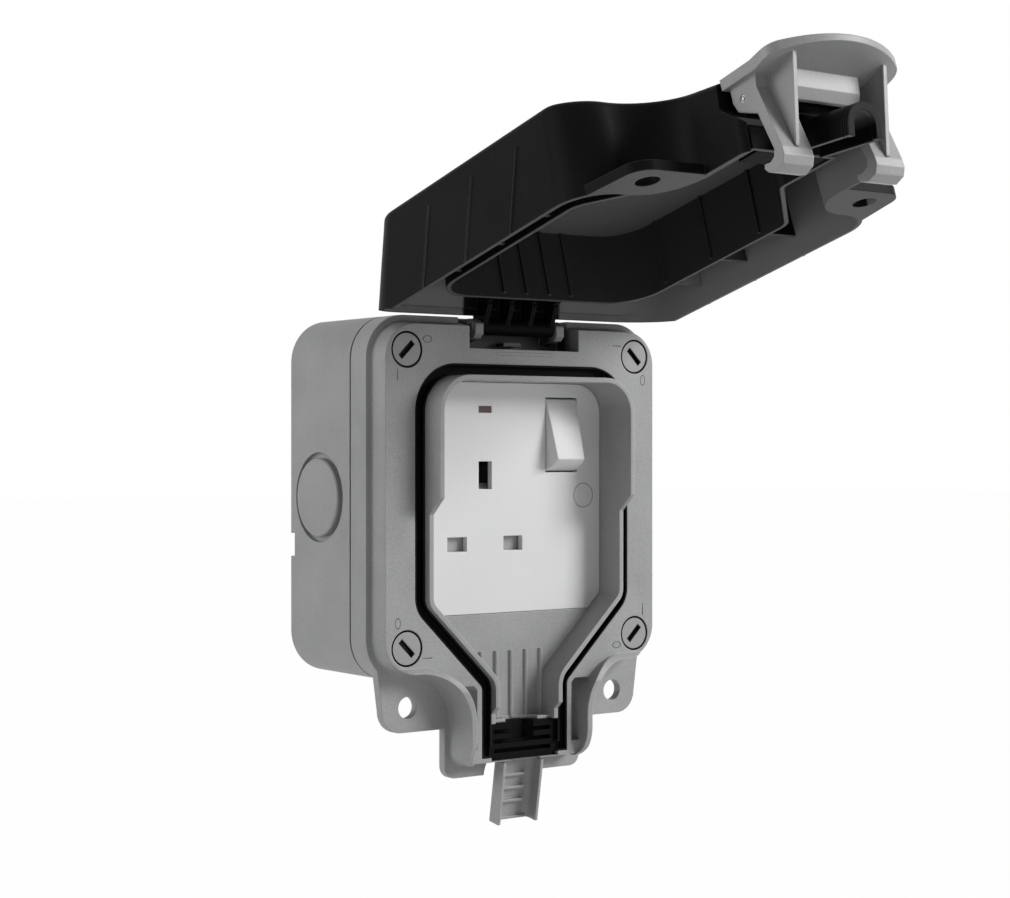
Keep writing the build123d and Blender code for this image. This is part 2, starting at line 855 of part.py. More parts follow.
# Hinge fins from the barrel to the sealing wall
def make_fins():
    wall_z = funnel_top + seal_outer - fuse
    face = face_level + 2 * slide_gap
    inside = half_height - recess_drop + 2 * slide_gap
    root = barrel_radius - fuse
    profile = outline([
        (hinge_level - fuse, hinge_z - root),
        (face_level - slide_gap, inside),
        (face, inside),
        (face, wall_z),
        (face + fin_height, wall_z),
        (face + fin_height, hinge_end(face + fin_height) - lid_wall / 2),
        (lid_rim + hinge_rise, hinge_end(lid_rim) - fuse),
    ])
    fins = cross_rod(hinge_level, hinge_z, barrel_radius, -barrel_half, barrel_half)
    for x in fin_spots:
        fins += across(profile, x - fin_thick / 2, x + fin_thick / 2)
    return fins


# Thin raised lines on the lid's sides
def lid_lines():
    skin = extrude(at(lid_rim) * plan(-line_proud, lid_foot_z), amount=lid_depth, taper=lid_draft)
    lean = tan(radians(line_lean))
    lines = Part()
    for z in rib_lines:
        top = (lid_rim + line_length, z - line_length * lean)
        stripe = outline([(lid_rim, z), (lid_rim, z - line_wide), (top[0], top[1] - line_wide), top])
        lines += across(stripe, half_width - line_root, half_width + 1) & skin
    return both_sides(lines)


# Sealing wall inside the lid, with webs to the skirt and ridges inside
def lid_sealing_wall():
    wall = slab(funnel(seal_outer) - funnel(seal_inner), seal_tip, lid_front)
    inner = funnel_half + seal_inner
    web_low = face_level + slide_gap
    reach = half_width - inner - fuse
    ridge = ridge_deep + fuse
    ridge_low = seal_tip + ridge_start
    for z in rib_lines:
        wall += both_sides(bar(inner + fuse + reach / 2, z, reach, web_thick, web_low, lid_front))
        wall += both_sides(bar(inner + fuse - ridge / 2, z, ridge, ridge_wide, ridge_low, lid_front))
    top = funnel_top + seal_inner
    for x in fin_spots:
        wall += bar(x, top + fuse - ridge / 2, ridge_wide, ridge, ridge_low, lid_front)
    return wall


# Arch with straight sides down to a level, drawn in the tongue's frame
def arch_face(radius, low):
    high = tube_rise + radius
    crown = Pos(0, tube_rise) * Circle(radius)
    crown += Pos(0, tube_rise - radius) * Rectangle(2 * radius, 2 * radius)
    return crown & (Pos(0, (high + low) / 2) * Rectangle(2 * radius, high - low))


# Half tube that nests in the tongue when the lid is shut, with a ring past the tongue's end
def make_half_tube():
    bore = tube_radius - tube_wall
    root = tongue_drop + 2 * slide_gap
    ring_start = tongue_length + tube_end_gap
    tube = along_tongue(arch_face(tube_radius, root) - arch_face(bore, root), -tube_root, slide_gap)
    nest = arch_face(tube_radius, -tube_nest) - arch_face(bore, -tube_nest)
    tube += along_tongue(nest, slide_gap, ring_start)
    collar = arch_face(tube_radius, -tube_nest) - arch_face(tube_radius - tube_groove, -tube_nest)
    tube -= along_tongue(collar, ring_start - tube_groove, ring_start)
    ring = arch_face(tube_radius, -tube_nest) - arch_face(bore - tube_ring, -tube_nest)
    return tube + along_tongue(ring, ring_start, ring_start + tube_ring_long)


# Block between the latch clip's lugs
def make_latch_knuckle():
    arm = outline([
        (latch_level + knuckle_radius, latch_z),
        (latch_level + knuckle_front, lid_end_z + knuckle_bite),
        (latch_level - knuckle_back, lid_end_z + knuckle_bite),
        (latch_level - knuckle_radius, latch_z),
    ])
    block = across(arm, -knuckle_half, knuckle_half)
    return block + cross_rod(latch_level, latch_z, knuckle_radius, -knuckle_half, knuckle_half)


# Lid in its shut place
def shut_lid():
    block = lid_block()
    lid = block - lid_hollow()
    lid += lid_sealing_wall() & block
    lid += lid_lines() - lid_hollow()
    lid -= rim_relief()
    lid += both_sides(slab(ear_face() - plan(lid_wall, lid_foot_z), lid_rim, lid_rim + lid_ear_thick))
    lid += make_fins()
    lid += make_latch_knuckle()
    lid -= along_tongue(arch_face(tube_radius - tube_wall, -tube_nest), -2 * tube_root, tongue_length)
    lid += make_half_tube()
    lid -= cross_rod(hinge_level, hinge_z, hinge_pin_radius + run_gap, -half_width, half_width)
    lid -= cross_rod(latch_level, latch_z, latch_pin_radius + press_gap, -half_width, half_width)
    for x in (-ear_x, ear_x):
        lid -= rod(x, ear_z, ear_hole, lid_rim, lid_rim + lid_ear_thick)
    return lid


# Upper half of the cable block, held in the lid's neck
def shut_upper_seal():
    z_high = weir_z - weir_thick / 2 - slide_gap
    z_low = funnel_end - seal_inner + press_gap
    long = z_high - z_low
    middle = (z_high + z_low) / 2
    step = face_level + slide_gap
    half = funnel_neck + seal_inner - press_gap
    nose = funnel_neck + collar_wall - slide_gap
    block = bar(0, middle, 2 * half, long, step, seal_tip + upper_block_deep)
    block += bar(0, middle, 2 * nose, long, seal_tip, step)
    return block - upright(0, seal_tip, upper_notch, z_low, z_high)


# Latch clip, standing free of the ledge as in the open lid
def from_pin(points):
    return outline([(latch_level + level, latch_z + height) for level, height in points])


def shut_latch_clip():
    front = Pos(0, grip_tip + grip_front) * Circle(grip_front)
    sides = Pos(0, latch_z) * Rectangle(2 * grip_half, 2 * grip_front)
    top_view = front & sides
    top_view = fillet(top_view.vertices().group_by(Axis.Y)[0], grip_round)
    clip = across(from_pin(grip_points), -grip_half, grip_half) & slab(top_view, latch_level, far_level)
    leg_in = clip_half - leg_width
    half = across(from_pin(leg_points), leg_in, clip_half)
    half += across(from_pin(lug_points), clip_half - lug_plate, clip_half)
    half += across(from_pin(gusset_points), gusset_x - gusset_thick / 2, gusset_x + gusset_thick / 2)
    half += across(from_pin(web_points), 0, leg_in + fuse)
    clip += both_sides(half)
    return clip - cross_rod(latch_level, latch_z, latch_pin_radius + run_gap, -half_width, half_width)


def shut_latch_pin():
    end = clip_half - latch_pin_sink
    return cross_rod(latch_level, latch_z, latch_pin_radius, -end, end)


def make_hinge_pin():
    end = barrel_half + slide_gap + bracket_thick + hinge_pin_stub
    return cross_rod(hinge_level, hinge_z, hinge_pin_radius, -end, end)


# Everything on the lid is drawn shut, then swung open about the hinge
def swung_open(shape):
    return shape.rotate(Axis((0, -hinge_level, hinge_z), (1, 0, 0)), -open_angle)


def module_screw_spots():
    low = module_screw_raise - module_screw_z
    return [(x, z) for x in (-module_screw_x, module_screw_x) for z in (low, module_screw_z)]


def pin_slots():
    slots = Pos(earth_x, earth_z) * Rectangle(earth_slot_wide, earth_slot_high)
    for x in (live_x, neutral_x):
        slots += Pos(x, line_z) * Rectangle(line_slot_wide, line_slot_high)
    return slots


# White plate with its pin slots, rocker window, neon window and covered screw
def make_socket_plate():
    edge = body_height / 2 + plate_foot + seat_gap
    face = funnel(-seat_gap) & (Pos(0, edge) * Rectangle(body_width, body_height))
    plate = slab(face, web_back, socket_level)
    plate -= slab(pin_slots(), web_back, socket_level)
    window = Pos(rocker_x, rocker_z) * Rectangle(rocker_window_wide, rocker_window_high)
    plate -= slab(window, web_back, socket_level)
    neon = Pos(earth_x, neon_z) * Rectangle(neon_wide + 2 * press_gap, neon_high + 2 * press_gap)
    plate -= slab(neon, web_back, socket_level)
    plate -= rod(cover_x, cover_z, cover_radius + press_gap, socket_level - cover_thick, socket_level)
    plate -= rod(cover_x, cover_z, plate_screw_radius + press_gap, web_back, socket_level)
    return plate


def make_screw_cover():
    return rod(cover_x, cover_z, cover_radius, socket_level - cover_thick, socket_level)


def make_plate_screw():
    top = socket_level - cover_thick
    return rod(cover_x, cover_z, plate_screw_radius, web_back - plate_screw_long, top)


def make_neon_lens():
    return bar(earth_x, neon_z, neon_wide, neon_high, web_back, socket_level - neon_sink)


def make_neon_lamp():
    level = web_back - neon_lamp_radius - slide_gap
    half = neon_lamp_long / 2
    return cross_rod(level, neon_z, neon_lamp_radius, earth_x - half, earth_x + half)


# Contact pockets, shutter channel, switch well and lamp bed cut in the housing
def housing_spaces():
    floor = housing_level + housing_back
    long_side = leaf_wide + 2 * pocket_room
    short_side = line_gap + 2 * leaf_thick + 2 * pocket_room
    spaces = bar(earth_x, earth_z, short_side, long_side + earth_pocket_spare, floor, web_back)
    for x in (live_x, neutral_x):
        spaces += bar(x, line_z, long_side + line_pocket_spare, short_side, floor, web_back)
    low_z = line_z - shutter_bar / 2 - shutter_travel - slide_gap
    high_z = earth_z - earth_slot_high / 2 + shutter_ramp + slide_gap
    bed = web_back - shutter_thick - 2 * slide_gap
    wide = 2 * (pin_side + shutter_side + slide_gap)
    spaces += bar(earth_x, (low_z + high_z) / 2, wide, high_z - low_z, bed, web_back)
    spring_low = line_z - shutter_bar / 2 - spring_length
    room = 2 * (spring_radius + spring_wire + slide_gap)
    spaces += bar(earth_x, (spring_low + low_z) / 2, room, low_z - spring_low, bed, web_back)
    spaces += bar(rocker_x, rocker_z, rocker_window_wide, rocker_window_high, floor, web_back)
    trunnion_wide = rocker_wide + 2 * trunnion_long + 2 * slide_gap
    slot = 2 * (trunnion_radius + run_gap)
    spaces += bar(rocker_x, rocker_z, trunnion_wide, slot, rocker_level, web_back)
    spaces += cross_rod(rocker_level, rocker_z, trunnion_radius + run_gap,
                        rocker_x - trunnion_wide / 2, rocker_x + trunnion_wide / 2)
    pivot_wide = rocker_window_wide + 2 * blade_pivot_reach + 2 * slide_gap
    spaces += bar(rocker_x, rocker_z, pivot_wide, 2 * (blade_pivot + run_gap), blade_level(), web_back)
    spaces += cross_rod(blade_level(), rocker_z, blade_pivot + run_gap,
                        rocker_x - pivot_wide / 2, rocker_x + pivot_wide / 2)
    lamp = 2 * (neon_lamp_radius + press_gap)
    lamp_level = web_back - neon_lamp_radius - slide_gap
    spaces += bar(earth_x, neon_z, neon_lamp_long + lamp, lamp, lamp_level, web_back)
    spaces += cross_rod(lamp_level, neon_z, lamp / 2,
                        earth_x - neon_lamp_long / 2 - lamp / 2, earth_x + neon_lamp_long / 2 + lamp / 2)
    return spaces


# Housing behind the plate, with a flange that seats on the back of the frame
def make_module_housing():
    flange_back = web_back - flange_thick
    housing = slab(RectangleRounded(housing_wide, housing_high, housing_corner), housing_level, flange_back)
    housing += slab(RectangleRounded(flange_wide, flange_high, flange_corner), flange_back, web_back)
    housing -= housing_spaces()
    floor = housing_level + housing_back
    for x, z in ((earth_x, earth_z), (live_x, line_z), (neutral_x, line_z)):
        hole = terminal_wide + 2 * press_gap
        housing -= bar(x, z, hole, hole, housing_level, floor)
    for x, z in module_screw_spots():
        housing -= rod(x, z, module_screw_radius + press_gap, flange_back, web_back)
    screw_end = web_back - plate_screw_long
    housing -= rod(cover_x, cover_z, plate_screw_radius + press_gap, screw_end, web_back)
    return housing


# Two spring leaves on a base, and a terminal block behind the housing
def make_contact(x, z, upright_leaves):
    floor = housing_level + housing_back
    tip = floor + contact_long
    offset = line_gap / 2 + leaf_thick / 2
    contact = bar(x, z, terminal_wide, terminal_wide, floor - terminal_deep, floor)
    for shift in (-offset, offset):
        if upright_leaves:
            contact += bar(x + shift, z, leaf_thick, leaf_wide, floor, tip)
        else:
            contact += bar(x, z + shift, leaf_wide, leaf_thick, floor, tip)
    middle = floor - terminal_deep / 2
    contact -= upright(x, middle - 1, wire_radius, z - terminal_wide, z + terminal_wide)
    contact -= rod(x, z, terminal_screw_radius + press_gap, floor - terminal_deep, middle)
    return contact


def make_terminal_screws():
    end = housing_level + housing_back - terminal_deep
    screws = Part()
    for x, z in ((earth_x, earth_z), (live_x, line_z), (neutral_x, line_z)):
        back = end - terminal_screw_cap
        screw = rod(x, z, terminal_screw_radius, end - fuse, end + terminal_screw_bite)
        screw += rod(x, z, terminal_screw_head, back, end)
        screws += screw - bar(x, z, 2 * terminal_screw_head, driver_slot, back, back + driver_slot_deep)
    return screws


def make_module_screws():
    back = web_back - flange_thick
    screws = Part()
    for x, z in module_screw_spots():
        cap = back - module_screw_cap
        screw = rod(x, z, module_screw_radius, back, web_back + module_screw_grip - module_screw_end_gap)
        screw += rod(x, z, module_screw_head, cap, back)
        screws += screw - bar(x, z, 2 * module_screw_head, driver_slot, cap, cap + driver_slot_deep)
    return screws


# Shutter: a bar behind the two lower slots, and an arm with a ramp behind the earth slot
def make_shutter():
    top = web_back - slide_gap
    low = top - shutter_thick
    bar_wide = 2 * (pin_side + shutter_side)
    shutter = bar(earth_x, line_z, bar_wide, shutter_bar, low, top)
    arm_low = line_z
    arm_high = earth_z - earth_slot_high / 2 + shutter_ramp
    arm = outline([(low, arm_low), (top, arm_low), (top, arm_high - shutter_ramp), (low, arm_high)])
    return shutter + across(arm, earth_x - shutter_arm / 2, earth_x + shutter_arm / 2)


def make_shutter_spring():
    level = web_back - slide_gap - shutter_thick / 2
    high = line_z - shutter_bar / 2 - press_gap
    pitch = (spring_length - 2 * press_gap - 2 * spring_wire) / spring_turns
    height = pitch * spring_turns
    coil = Helix(pitch, height, spring_radius)
    section = Plane(origin=coil @ 0, z_dir=coil % 0) * RegularPolygon(spring_wire, 4)
    wire = sweep(section, path=coil, is_frenet=True)
    return Pos(earth_x, -level, high - spring_wire - height) * wire


# Rocker: round about its pivot, with two faces that meet in a ridge
def rocker_body():
    slope = tan(radians(rocker_swing))
    faces = outline([
        (-rocker_depth, -rocker_radius),
        (-rocker_depth, rocker_radius),
        (rocker_sink, rocker_radius),
        (rocker_sink, 0),
        (rocker_sink + slope * rocker_radius, -rocker_radius),
    ])
    face = Pos(rocker_level, rocker_z) * (Circle(rocker_radius) & faces)
    return across(face, rocker_x - rocker_wide / 2, rocker_x + rocker_wide / 2)


def make_rocker():
    end = rocker_wide / 2 + trunnion_long
    trunnions = cross_rod(rocker_level, rocker_z, trunnion_radius, rocker_x - end, rocker_x + end)
    return rocker_body() + trunnions


# Plunger under the rocker, leaning to its off side
def make_switch_plunger():
    start = rocker_depth - plunger_root
    end = rocker_level - blade_level() - blade_thick / 2 - plunger_gap
    plunger = rod(rocker_x, rocker_z, plunger_radius, rocker_level - end, rocker_level - start)
    pivot = Axis((rocker_x, -rocker_level, rocker_z), (1, 0, 0))
    return plunger.rotate(pivot, -rocker_swing / 2) - rocker_body()


# See-saw blade under the plunger, and the contact that it meets when the switch is on
def blade_level():
    return housing_level + housing_back + blade_rise


def make_switch_blade():
    level = blade_level()
    tilt = Location((level, rocker_z, 0), (0, 0, -blade_tilt))
    face = tilt * Rectangle(blade_thick, blade_long)
    blade = across(face, rocker_x - blade_wide / 2, rocker_x + blade_wide / 2)
    end = rocker_window_wide / 2 + blade_pivot_reach
    return blade + cross_rod(level, rocker_z, blade_pivot, rocker_x - end, rocker_x + end)


def make_fixed_contact():
    floor = housing_level + housing_back
    z = rocker_z + blade_long / 2 - fixed_contact_wide / 2
    dip = blade_long / 2 * sin(radians(blade_tilt)) + blade_thick / 2
    top = blade_level() - dip - slide_gap
    return bar(rocker_x, z, fixed_contact_wide, fixed_contact_wide, floor, top)


def build():
    nodes = {
        "back_box": make_back_box(),
        "entry_plug_left": make_entry_plug(-1),
        "entry_plug_right": make_entry_plug(1),
        "box_gasket": make_box_gasket(),
        "front_frame": make_front_frame(),
        "lid_seal": make_lid_seal(),
        "lower_cable_seal": make_lower_cable_seal(),
        "hinge_pin": make_hinge_pin(),
        "lid": swung_open(shut_lid()),
        "upper_cable_seal": swung_open(shut_upper_seal()),
        "latch_pin": swung_open(shut_latch_pin()),
        "latch_clip": swung_open(shut_latch_clip()),
        "socket_plate": make_socket_plate(),
        "screw_cover": make_screw_cover(),
        "plate_screw": make_plate_screw(),
        "neon_lens": make_neon_lens(),
        "neon_lamp": make_neon_lamp(),
        "module_housing": make_module_housing(),
        "live_contact": make_contact(live_x, line_z, False),
        "neutral_contact": make_contact(neutral_x, line_z, False),
        "earth_contact": make_contact(earth_x, earth_z, True),
        "terminal_screws": make_terminal_screws(),
        "module_screws": make_module_screws(),
        "shutter": make_shutter(),
        "shutter_spring": make_shutter_spring(),
        "rocker": make_rocker(),
        "switch_plunger": make_switch_plunger(),
        "switch_blade": make_switch_blade(),
        "fixed_contact": make_fixed_contact(),
    }
    for name, (x, z, turn) in screw_spots.items():
        nodes["frame_screw_" + name] = make_frame_screw(x, z, turn)
    return nodes


os.makedirs("parts", exist_ok=True)
for node, shape in build().items():
    export_step(shape, "parts/" + node + ".step")
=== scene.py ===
import bpy
import math
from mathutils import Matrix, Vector


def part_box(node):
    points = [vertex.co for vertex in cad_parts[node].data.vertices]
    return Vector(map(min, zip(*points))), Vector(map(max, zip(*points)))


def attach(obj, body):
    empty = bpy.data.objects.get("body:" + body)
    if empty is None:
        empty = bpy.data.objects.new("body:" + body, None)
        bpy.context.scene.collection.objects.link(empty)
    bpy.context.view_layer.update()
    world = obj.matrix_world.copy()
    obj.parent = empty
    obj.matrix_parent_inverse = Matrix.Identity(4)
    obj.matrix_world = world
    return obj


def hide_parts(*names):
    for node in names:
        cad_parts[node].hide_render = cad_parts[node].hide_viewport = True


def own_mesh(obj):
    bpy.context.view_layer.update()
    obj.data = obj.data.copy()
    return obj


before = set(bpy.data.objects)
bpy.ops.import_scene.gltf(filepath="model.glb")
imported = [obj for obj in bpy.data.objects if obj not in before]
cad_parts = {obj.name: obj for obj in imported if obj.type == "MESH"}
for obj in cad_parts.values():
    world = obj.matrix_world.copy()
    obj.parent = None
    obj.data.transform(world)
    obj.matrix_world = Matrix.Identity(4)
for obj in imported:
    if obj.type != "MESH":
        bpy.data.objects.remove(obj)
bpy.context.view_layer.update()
bpy.ops.object.select_all(action='DESELECT')
scene = bpy.context.scene
mm = 0.001
print("frame loaded:", len(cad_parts), "nodes")


def metres(pair):  # from millimetres
    return pair[0] * mm, pair[1] * mm


def middleOf(box):
    return [(low + high) / 2 for low, high in zip(*box)]


# finishes
def newFinish(name):
    mat = bpy.data.materials.new(name)
    mat.use_nodes = True
    nodes = mat.node_tree.nodes
    nodes.clear()
    out = nodes.new("ShaderNodeOutputMaterial")
    shader = nodes.new("ShaderNodeBsdfPrincipled")
    mat.node_tree.links.new(shader.outputs["BSDF"], out.inputs["Surface"])
    return mat, nodes, mat.node_tree.links, shader


def addNoise(nodes, links, coords, scale, detail):
    noise = nodes.new("ShaderNodeTexNoise")
    noise.inputs["Scale"].default_value = scale
    noise.inputs["Detail"].default_value = detail
    links.new(coords, noise.inputs["Vector"])
    return noise.outputs["Fac"]


def addRange(nodes, links, value, low, high, start=0.3, stop=0.7):
    remap = nodes.new("ShaderNodeMapRange")
    remap.inputs["From Min"].default_value = start
    remap.inputs["From Max"].default_value = stop
    remap.inputs["To Min"].default_value = low
    remap.inputs["To Max"].default_value = high
    links.new(value, remap.inputs["Value"])
    return remap.outputs["Result"]


def addMath(nodes, links, how, first, second):
    step = nodes.new("ShaderNodeMath")
    step.operation = how
    links.new(first, step.inputs[0])
    links.new(second, step.inputs[1])
    return step.outputs["Value"]


def addTone(nodes, links, share, first, second):
    tone = nodes.new("ShaderNodeMix")
    tone.data_type = 'RGBA'
    for socket, colour in (("A", first), ("B", second)):
        if isinstance(colour, tuple):
            tone.inputs[socket].default_value = (*colour, 1)
        else:
            links.new(colour, tone.inputs[socket])
    links.new(share, tone.inputs["Factor"])
    return tone.outputs["Result"]


def addVector(nodes, links, how, first, second):
    step = nodes.new("ShaderNodeVectorMath")
    step.operation = how
    for socket, vector in zip(step.inputs, (first, second)):
        if isinstance(vector, tuple):
            socket.default_value = vector
        else:
            links.new(vector, socket)
    return step.outputs["Value" if how == 'DOT_PRODUCT' else "Vector"]


# painted shade of the screws' slots and gaps
slotSet = {"fade": (-52.25, -51.8), "paintedShade": (0.008, 0.008, 0.009)}


def slotPaintedShade(nodes, links, coords, colour):  # painted shade: darker below the face of a screw, in its slot and the gap round it
    deep = addVector(nodes, links, 'DOT_PRODUCT', coords, (0.0, 1.0, 0.0))
    share = addRange(nodes, links, deep, 0.0, 1.0, *metres(slotSet["fade"]))
    return addTone(nodes, links, share, colour, slotSet["paintedShade"])


def sideways(nodes, links, coords):  # distance from the middle plane
    right = addVector(nodes, links, 'DOT_PRODUCT', coords, (1.0, 0.0, 0.0))
    left = addVector(nodes, links, 'DOT_PRODUCT', coords, (-1.0, 0.0, 0.0))
    return addMath(nodes, links, 'MAXIMUM', right, left)


recessSet = {
    "fade": (-48.5, -44.5),  # from the plain grey in front to the painted shade behind
    "foot": (47.4, 47.5),
    "side": (22.1, 22.2),
    "shade": (0.01, 0.01, 0.011),
}


def recessPaintedShade(nodes, links, coords, colour):  # painted shade: dark bottom of the hinge recess
    deep = addVector(nodes, links, 'DOT_PRODUCT', coords, (0.0, 1.0, 0.0))
    high = addVector(nodes, links, 'DOT_PRODUCT', coords, (0.0, 0.0, 1.0))
    across = sideways(nodes, links, coords)
    share = addRange(nodes, links, deep, 0.0, 1.0, *metres(recessSet["fade"]))
    aboveFoot = addRange(nodes, links, high, 0.0, 1.0, *metres(recessSet["foot"]))
    inRecess = addRange(nodes, links, across, 1.0, 0.0, *metres(recessSet["side"]))
    share = addMath(nodes, links, 'MINIMUM', share, aboveFoot)
    share = addMath(nodes, links, 'MINIMUM', share, inRecess)
    return addTone(nodes, links, share, colour, recessSet["shade"])


innerSet = {
    "middle": (0.0, -0.117, 0.047),  # point below the open lid, which its inner faces look at
    "toHinge": (0.0, 0.962, -0.273),  # along the open lid, from its beak
    "rimFaces": (0.0, -0.273, -0.962),
    "neck": (-176.0, -151.0),  # stretch along the lid where the sealing wall widens
    "wallSide": (21.0, 46.0),  # half width of the sealing wall at the ends of that stretch
    "wallBlend": (-1.0, 1.0),
    "hingeEnd": (-70.0, -69.0),
    "finSide": (19.0, 20.0),
    "finEnd": (-73.0, -72.0),
    "inward": (0.12, 0.3),
    "rimTilt": (0.6, 0.85),
    # tones of the painted reflection inside the lid
    "inner": (0.044, 0.042, 0.045),
    "band": (0.3, 0.299, 0.302),
    "rim": (0.13, 0.129, 0.131),
}


def insidePaintedSheen(nodes, links, coords, colour):  # painted reflection: lighter inner faces of the lid
    toMiddle = addVector(nodes, links, 'SUBTRACT', innerSet["middle"], coords)
    toMiddle = addVector(nodes, links, 'NORMALIZE', toMiddle, (0.0, 0.0, 0.0))
    local = nodes.new("ShaderNodeVectorTransform")
    local.vector_type = 'NORMAL'
    local.convert_from = 'WORLD'
    local.convert_to = 'OBJECT'
    links.new(nodes.new("ShaderNodeNewGeometry").outputs["Normal"], local.inputs["Vector"])
    facing = addVector(nodes, links, 'DOT_PRODUCT', toMiddle, local.outputs["Vector"])
    inward = addRange(nodes, links, facing, 0.0, 1.0, *innerSet["inward"])
    along = addVector(nodes, links, 'DOT_PRODUCT', coords, innerSet["toHinge"])
    across = sideways(nodes, links, coords)
    # painted reflection, brightest in the band between the sealing wall and the outer wall
    wall = addRange(nodes, links, along, *metres(innerSet["wallSide"]), *metres(innerSet["neck"]))
    pastWall = addMath(nodes, links, 'SUBTRACT', across, wall)
    byWall = addRange(nodes, links, pastWall, 0.0, 1.0, *metres(innerSet["wallBlend"]))
    byHinge = addRange(nodes, links, along, 0.0, 1.0, *metres(innerSet["hingeEnd"]))
    inBand = addMath(nodes, links, 'MAXIMUM', byWall, byHinge)
    sheen = addTone(nodes, links, inBand, innerSet["inner"], innerSet["band"])
    # painted reflection on the rim, ears and ceiling
    tilt = addVector(nodes, links, 'DOT_PRODUCT', local.outputs["Vector"], innerSet["rimFaces"])
    onRim = addRange(nodes, links, tilt, 0.0, 1.0, *innerSet["rimTilt"])
    sheen = addTone(nodes, links, onRim, sheen, innerSet["rim"])
    # the hinge's fins stay black
    besideFins = addRange(nodes, links, across, 0.0, 1.0, *metres(innerSet["finSide"]))
    beforeFins = addRange(nodes, links, along, 1.0, 0.0, *metres(innerSet["finEnd"]))
    offFins = addMath(nodes, links, 'MAXIMUM', besideFins, beforeFins)
    share = addMath(nodes, links, 'MINIMUM', inward, offFins)
    return addTone(nodes, links, share, colour, sheen)


mouldSet = {
    "cloud": (38.0, 4.0),  # scale and detail
    "sparkDetail": 2.0,
    "mottle": (0.7, 1.3),
    "edgeSamples": 6,
    # painted highlight along edges
    "highlightShare": 0.6,
    "highlightBend": (0.86, 0.985),
    "bump": 0.35,
}


def mouldedFinish(name, dark, light, rough, grain, edge, specular=0.5, patch=None, edgeHighlight=0.0):
    mat, nodes, links, shader = newFinish(name)
    coords = nodes.new("ShaderNodeTexCoord").outputs["Object"]
    cloud = addNoise(nodes, links, coords, *mouldSet["cloud"])  # slow change of tone over the moulding
    spark = addNoise(nodes, links, coords, grain["scale"], mouldSet["sparkDetail"])  # the mould's texture
    mottle = addMath(nodes, links, 'ADD', cloud, spark)
    mottle = addRange(nodes, links, mottle, 0.0, 1.0, *mouldSet["mottle"])
    colour = addTone(nodes, links, mottle, dark, light)
    if patch:
        colour = patch(nodes, links, coords, colour)
    soft = nodes.new("ShaderNodeBevel")  # softened edge of the moulding
    soft.samples = mouldSet["edgeSamples"]
    soft.inputs["Radius"].default_value = edge * mm
    # painted highlight: edges lightened towards the given tone, on hollow edges as on outer ones
    if edgeHighlight:
        plain = nodes.new("ShaderNodeNewGeometry").outputs["Normal"]
        flat = addVector(nodes, links, 'DOT_PRODUCT', soft.outputs["Normal"], plain)
        onEdge = addRange(nodes, links, flat, mouldSet["highlightShare"], 0.0, *mouldSet["highlightBend"])
        colour = addTone(nodes, links, onEdge, colour, (edgeHighlight, edgeHighlight, edgeHighlight))
    links.new(colour, shader.inputs["Base Color"])
    links.new(addRange(nodes, links, spark, *rough), shader.inputs["Roughness"])
    shader.inputs["Specular IOR Level"].default_value = specular
    bump = nodes.new("ShaderNodeBump")
    bump.inputs["Strength"].default_value = mouldSet["bump"]
    bump.inputs["Distance"].default_value = grain["depth"] * mm
    links.new(spark, bump.inputs["Height"])
    links.new(soft.outputs["Normal"], bump.inputs["Normal"])
    links.new(bump.outputs["Normal"], shader.inputs["Normal"])
    return mat


brushSet = {"stretch": (1.0, 12.0, 1.0), "detail": 3.0}


def metalFinish(name, dark, light, rough, brushScale):
    mat, nodes, links, shader = newFinish(name)
    turn = nodes.new("ShaderNodeMapping")
    turn.inputs["Scale"].default_value = brushSet["stretch"]
    links.new(nodes.new("ShaderNodeTexCoord").outputs["Object"], turn.inputs["Vector"])
    brush = addNoise(nodes, links, turn.outputs["Vector"], brushScale, brushSet["detail"])
    links.new(addTone(nodes, links, brush, dark, light), shader.inputs["Base Color"])
    links.new(addRange(nodes, links, brush, *rough), shader.inputs["Roughness"])
    shader.inputs["Metallic"].default_value = 1.0
    return mat


matte = {"scale": 2600.0, "depth": 0.06}
fine = {"scale": 3000.0, "depth": 0.02}
coarse = {"scale": 2000.0, "depth": 0.09}
shellTone = {"dark": (0.3, 0.302, 0.307), "light": (0.418, 0.42, 0.424), "rough": (0.42, 0.55)}
rubberTone = {"dark": (0.0035, 0.0035, 0.0036), "light": (0.006, 0.006, 0.006), "rough": (0.5, 0.7)}
greyShell = mouldedFinish("greyShell", **shellTone, grain=matte, edge=0.5, edgeHighlight=0.6)
# the frame carries painted shade in its hinge recess
greyFrame = mouldedFinish("greyFrame", **shellTone, grain=matte, edge=0.5, patch=recessPaintedShade, edgeHighlight=0.6)
greyClip = mouldedFinish("greyClip", (0.295, 0.297, 0.302), (0.4, 0.402, 0.406), (0.36, 0.48),
                         grain=matte, edge=0.5, edgeHighlight=0.55)
# the screws carry painted shade in their slots and gaps
greyScrew = mouldedFinish("greyScrew", (0.34, 0.342, 0.347), (0.37, 0.372, 0.376), (0.42, 0.55),
                          grain=matte, edge=0.3, patch=slotPaintedShade)
greyMark = mouldedFinish("greyMark", (0.075, 0.076, 0.078), (0.1, 0.101, 0.103), (0.45, 0.6),
                         grain=matte, edge=0.1)
